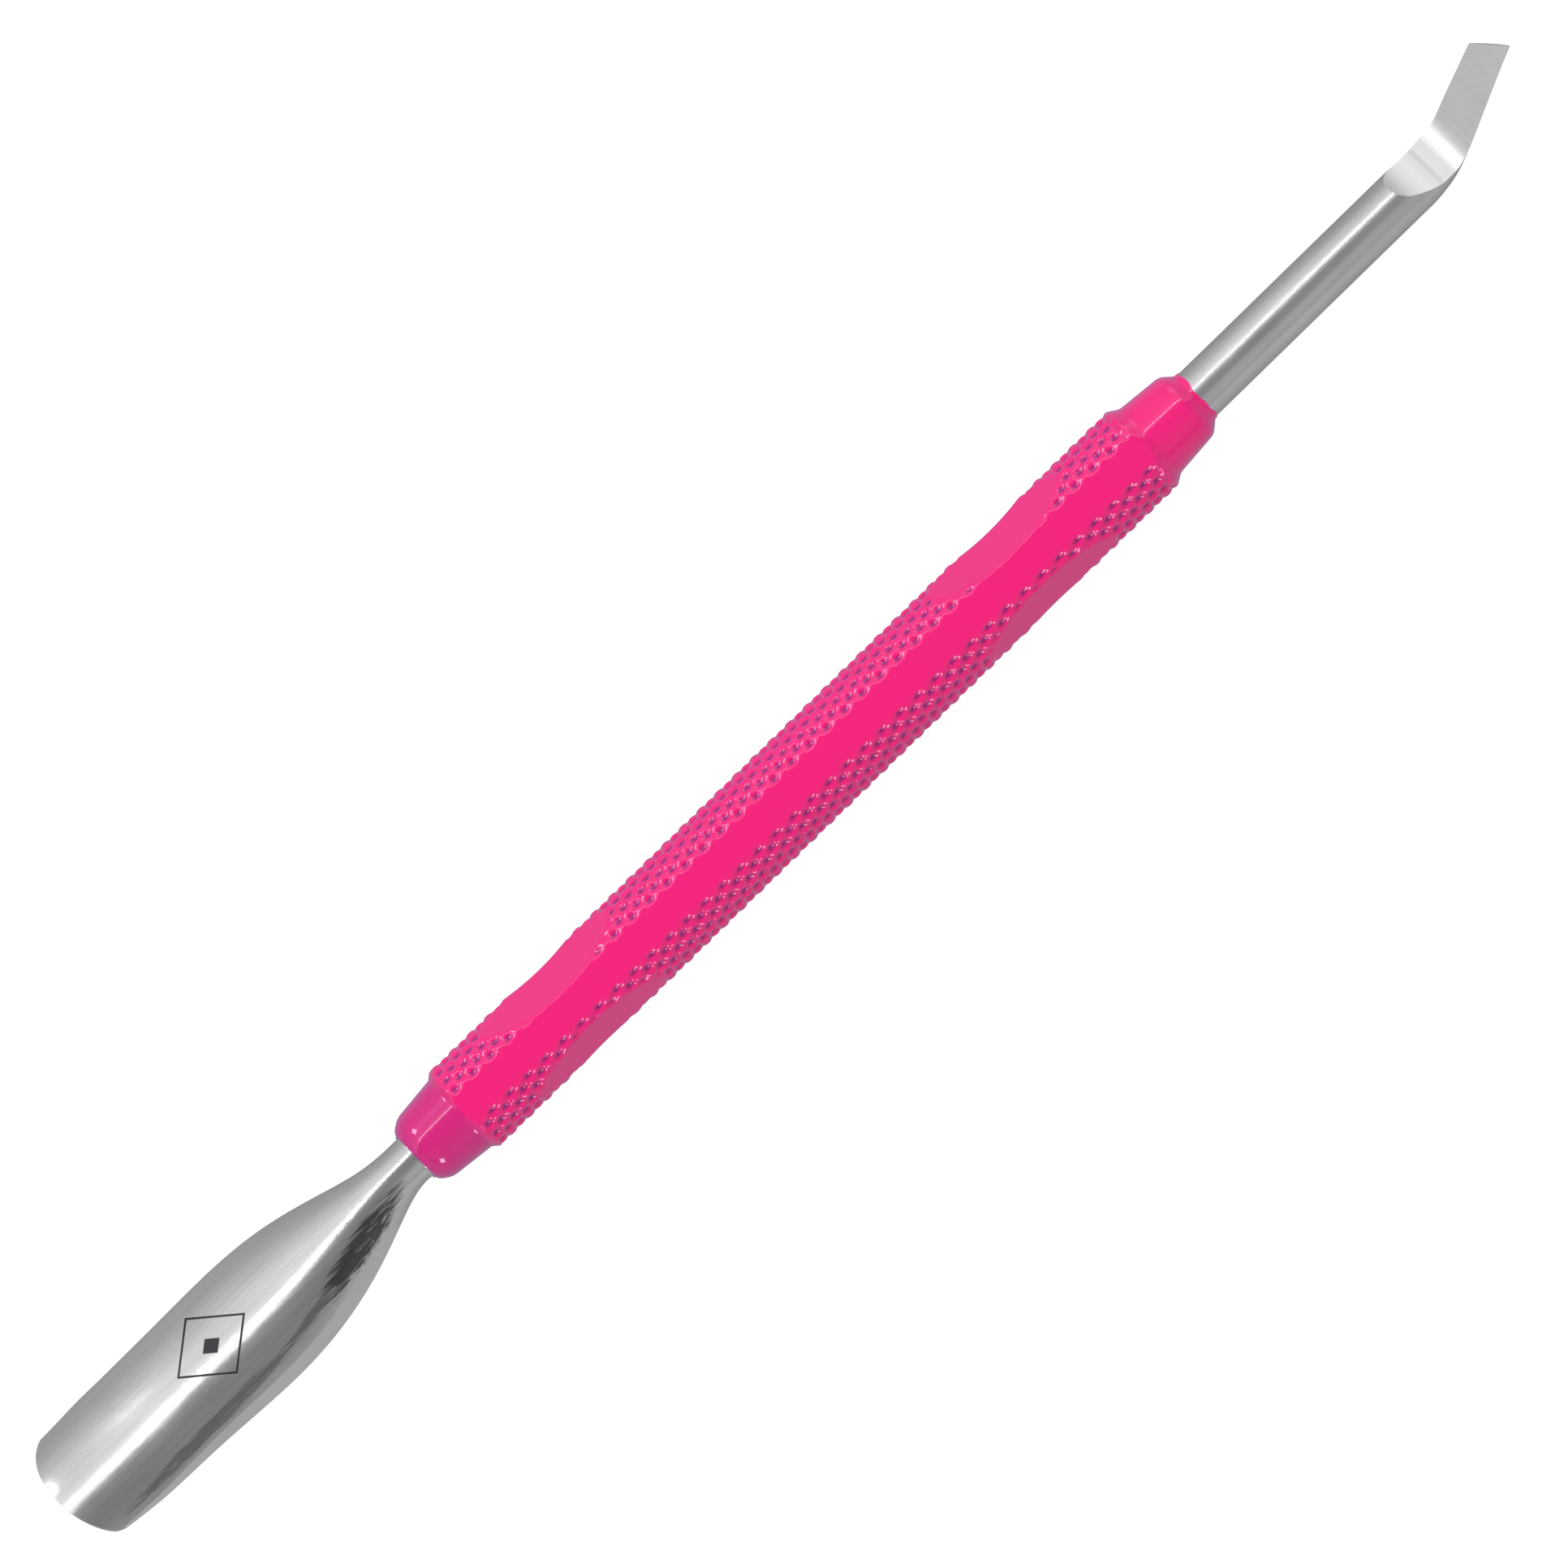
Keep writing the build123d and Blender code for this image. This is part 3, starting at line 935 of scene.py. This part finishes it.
# ---- The pieces ----
@dataclass
class GripCoating:
    """The dipped coating over the knurled handle."""

    form: HandleForm
    finish: DippedCoating = DippedCoating()
    columns: int = 152
    knurl_pitch: float = 1.675 * MM
    knurl_rows: int = 38
    knurl_phase: float = -0.48
    knurl_shift: float = 0.07 * MM
    groove_depth: float = 0.12 * MM
    pit_depth: float = 0.15 * MM
    groove_width: float = 0.44
    blade_end_inset: float = 0.3 * MM
    rings_per_pitch: int = 12
    plain_step: float = 2.2 * MM
    edge_softness: float = 0.1 * MM
    unevenness: float = 0.2
    ragged_edge: float = 0.9 * MM
    pooling: float = 0.05 * MM
    nose_length: float = 0.15 * MM
    nose_rise: float = 0.29 * MM
    nose_rounding: float = 0.9 * MM
    spoon_shoulder: float = 0.9 * MM
    spoon_shoulder_rounding: float = 1.6 * MM
    spoon_foot_rounding: float = 0.2 * MM
    knurl_edge_rounding: float = 0.5 * MM
    blade_foot: float = 0.8 * MM
    blade_foot_rounding: float = 0.9 * MM
    blade_shoulder: float = 0.75 * MM
    blade_shoulder_rounding: float = 1.0 * MM
    lip_foot: float = 0.05 * MM
    lip_rise: float = 0.03 * MM
    lip_foot_rounding: float = 0.15 * MM
    lip_rounding: float = 0.03 * MM
    lip_margin: float = 0.35 * MM

    def outline(self) -> list[Corner]:
        """Wall of the coating in section, from the spoon's mouth and round.

        Returns:
            The wall's corners.
        """
        form = self.form
        root = form.crest_radius - form.collar_step
        end_radius = root - form.collar_taper
        foot = form.grip_end + form.collar_step
        coat = form.coat_thickness
        steel_end = form.handle_end - coat
        steel_edge = form.collar_edge_radius - coat
        lip_radius = form.shank_radius + form.lip_edge
        knurl_end = form.grip_end - self.blade_end_inset
        spoon_mouth, blade_mouth = -form.handle_end, form.handle_end
        spoon_nose = spoon_mouth + self.nose_length
        spoon_shoulder = spoon_mouth + self.spoon_shoulder
        blade_shoulder = blade_mouth - self.blade_shoulder
        shoulder_radius = end_radius - 2 * self.pooling
        lip_end = form.lip_end - self.lip_margin
        return [
            Corner(spoon_mouth, form.mouth_radius),
            Corner(spoon_nose, form.mouth_radius + self.nose_rise, self.nose_rounding),
            Corner(spoon_shoulder, end_radius - self.pooling, self.spoon_shoulder_rounding),
            Corner(-foot, root + self.pooling, self.spoon_foot_rounding),
            Corner(-form.grip_end, form.crest_radius, form.grip_edge_radius),
            Corner(knurl_end, form.crest_radius, self.knurl_edge_rounding),
            Corner(knurl_end + self.blade_foot, root - self.pooling, self.blade_foot_rounding),
            Corner(blade_shoulder, shoulder_radius, self.blade_shoulder_rounding),
            Corner(blade_mouth + self.lip_foot, lip_radius + self.lip_rise, self.lip_foot_rounding),
            Corner(lip_end, lip_radius, self.lip_rounding, run_out=1.0),
            Corner(lip_end, form.shank_radius, outside=False, run_out=1.0),
            Corner(steel_end, form.shank_radius, outside=False),
            Corner(steel_end, end_radius - coat, steel_edge, outside=False),
            Corner(foot, root - coat, outside=False),
            Corner(form.grip_end, form.crest_radius - coat, outside=False),
            Corner(-form.grip_end, form.crest_radius - coat, outside=False),
            Corner(-foot, root - coat, outside=False),
            Corner(-steel_end, end_radius - coat, steel_edge, outside=False),
            Corner(-steel_end, form.mouth_radius, outside=False),
        ]

    def build(self) -> bpy.types.Object:
        """Make the coating and set it in place of its plain node.

        Returns:
            The finished piece.
        """
        form = self.form
        fine_step = self.knurl_pitch / self.rings_per_pitch
        sleeve = TurnedSleeve(self.outline(), fine_step, self.plain_step)
        mesh = sleeve.mesh("knurled_coating", self.columns, form.axis_height)
        piece = bpy.data.objects.new("knurled_coating", mesh)
        bpy.context.scene.collection.objects.link(piece)
        sizes = {
            "Axis Height": form.axis_height,
            "Flat Apothem": form.flat_apothem,
            "Knurl Start": -form.grip_end,
            "Knurl End": form.grip_end - self.blade_end_inset,
            "Coat Thickness": form.coat_thickness,
            "Knurl Pitch": self.knurl_pitch,
            "Knurl Rows": float(self.knurl_rows),
            "Knurl Phase": self.knurl_phase,
            "Knurl Shift": self.knurl_shift,
            "Groove Depth": self.groove_depth,
            "Pit Depth": self.pit_depth,
            "Groove Width": self.groove_width,
            "Crest Radius": form.crest_radius,
            "Scallop Length": form.scallop_length,
            "Spoon Scallops": form.spoon_scallops,
            "Blade Scallops": form.blade_scallops,
            "Deep Angle": form.deep_angle,
            "Deep Depth": form.deep_depth,
            "Shallow Angle": form.shallow_angle,
            "Shallow Depth": form.shallow_depth,
            "Edge Softness": self.edge_softness,
            "Unevenness": self.unevenness,
            "Ragged Edge": self.ragged_edge,
        }
        KnurlTree().apply(piece, sizes, self.finish.make())
        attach(piece, BODY)
        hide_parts("grip_coating")
        return piece


@dataclass
class SteelPiece:
    """A steel node that keeps its own form and gets a finish."""

    node: str
    finish: BrushedSteel

    def build(self) -> bpy.types.Object:
        """Give the node its finish.

        Returns:
            The finished piece.
        """
        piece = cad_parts[self.node]
        piece.data.materials.clear()
        piece.data.materials.append(self.finish.make())
        return piece


# ---- Studio ----
@dataclass
class Softbox:
    """A rectangular studio light aimed at the tool, with its angles in degrees."""

    name: str
    tilt: float
    bearing: float
    distance: float
    width: float
    length: float
    level: float
    reflected: bool = True

    def build(self, target: Vector) -> bpy.types.Object:
        """Hang the light and aim it.

        Args:
            target: The point that it faces.

        Returns:
            The light.
        """
        tilt, bearing = math.radians(self.tilt), math.radians(self.bearing)
        away = Vector((
            math.sin(tilt) * math.cos(bearing),
            math.sin(tilt) * math.sin(bearing),
            math.cos(tilt),
        ))
        data = bpy.data.lights.new(self.name, "AREA")
        data.shape = "RECTANGLE"
        data.size = self.length
        data.size_y = self.width
        data.energy = self.level * math.pi * self.length * self.width
        light = bpy.data.objects.new(self.name, data)
        light.location = target + away * self.distance
        light.rotation_euler = away.to_track_quat("Z", "Y").to_euler()
        light.visible_glossy = self.reflected
        bpy.context.scene.collection.objects.link(light)
        return light


@dataclass
class Studio:
    """Camera, lights and floor; each strip is an angle about the tool's axis and a level."""

    field_width: float = 106.3 * MM
    camera_height: float = 3.0
    camera_turn: float = -44.26
    view_centre: tuple[float, float] = (-1.33 * MM, 0.67 * MM)
    sensor: float = 36.0
    floor_size: float = 3.0
    strip_level: float = 2.0
    strips: tuple[tuple[float, float], ...] = (
        (-180, 0.15), (-120, 0.25), (-95, 0.31), (-76, 0.3), (-64, 0.2), (-50, 0.3),
        (-34, 0.27), (-12, 0.17), (0, 0.15), (22, 0.18), (26, 0.65), (40, 0.55),
        (50, 0.47), (75, 0.38), (90, 0.3), (120, 0.25), (180, 0.15),
    )

    def camera(self, axis_height: float) -> bpy.types.Object:
        """Hang the camera straight above the tool.

        Args:
            axis_height: Height at which the field is as wide as it should be.

        Returns:
            The camera.
        """
        data = bpy.data.cameras.new("camera")
        data.sensor_width = self.sensor
        data.lens = self.sensor * self.camera_height / self.field_width
        camera = bpy.data.objects.new("camera", data)
        camera.location = (*self.view_centre, axis_height + self.camera_height)
        camera.rotation_euler = (0.0, 0.0, math.radians(self.camera_turn))
        bpy.context.scene.collection.objects.link(camera)
        bpy.context.scene.camera = camera
        return camera

    def floor(self) -> bpy.types.Object:
        """Lay the pale table that the tool rests on.

        Returns:
            The table.
        """
        half = self.floor_size / 2
        mesh = bpy.data.meshes.new("table")
        corners = [(-half, -half, 0), (half, -half, 0), (half, half, 0), (-half, half, 0)]
        mesh.from_pydata(corners, [], [(0, 1, 2, 3)])
        finish = Finish("table")
        finish.set(Base_Color=(0.35, 0.35, 0.35, 1.0), Roughness=0.9, Specular_IOR_Level=0.1)
        finish.set(Emission_Color=(1.0, 1.0, 1.0, 1.0), Emission_Strength=0.85)
        mesh.materials.append(finish.material)
        floor = bpy.data.objects.new("table", mesh)
        bpy.context.scene.collection.objects.link(floor)
        floor.visible_glossy = False
        floor.visible_diffuse = False
        return floor

    def surroundings(self) -> None:
        """Wrap strips of soft light along the tool."""
        world = bpy.data.worlds.new("studio")
        world.use_nodes = True
        bpy.context.scene.world = world
        tree = world.node_tree
        shade = tree.nodes["Background"]
        place = tree.nodes.new("ShaderNodeTexCoord")
        _, side, up = split_axes(tree, place.outputs["Generated"])
        bearing = side.maths("ARCTAN2", up) / (2 * math.pi) + 0.5
        ramp = tree.nodes.new("ShaderNodeValToRGB")
        feed(tree, ramp.inputs["Fac"], bearing)
        stops = ramp.color_ramp.elements
        stops.remove(stops[1])
        stops[0].position = 0.0
        for angle, _ in self.strips[1:]:
            stops.new(angle / 360 + 0.5)
        for stop, (_, level) in zip(stops, self.strips):
            stop.color = (level, level, level, 1.0)
        tree.links.new(ramp.outputs["Color"], shade.inputs["Color"])
        shade.inputs["Strength"].default_value = self.strip_level

    def build(self, axis_height: float) -> None:
        """Set up the whole studio.

        Args:
            axis_height: Height of the tool's axis.
        """
        self.camera(axis_height)
        self.floor()
        self.surroundings()
        target = Vector((0.0, 0.0, axis_height))
        lights = (
            Softbox("strip", tilt=29, bearing=90, distance=0.6, width=0.012, length=1.2, level=15.0),
            Softbox("side", tilt=80, bearing=50, distance=0.6, width=0.3, length=0.3, level=0.7),
            Softbox("spark", tilt=61, bearing=118, distance=0.6, width=0.15, length=0.15, level=9.0),
            Softbox("glint", tilt=68, bearing=244, distance=0.6, width=0.15, length=0.15, level=9.0),
            Softbox("fill", tilt=8, bearing=90, distance=0.6, width=0.7, length=0.9, level=0.9,
                    reflected=False),
        )
        for light in lights:
            light.build(target)
            log.info("light %s", light.name)
        bpy.context.scene.view_settings.view_transform = "Standard"


def main() -> None:
    """Build the tool's pieces and the studio, and report each one."""
    logging.basicConfig(level=logging.INFO, format="%(message)s")
    form = HandleForm.from_frame()
    builders = (
        GripCoating(form),
        SteelPiece("handle_core", BrushedSteel("core_steel", roughness=0.4)),
        SteelPiece("spoon_pusher", ForgedSpoon("spoon_steel", roughness=0.18)),
        SteelPiece("scraper_blade", GroundBlade("blade_steel", roughness=0.3)),
    )
    for builder in builders:
        piece = builder.build()
        log.info("%s: %d faces", piece.name, len(piece.data.polygons))
    Studio().build(form.axis_height)


if __name__ == "__main__":
    main()
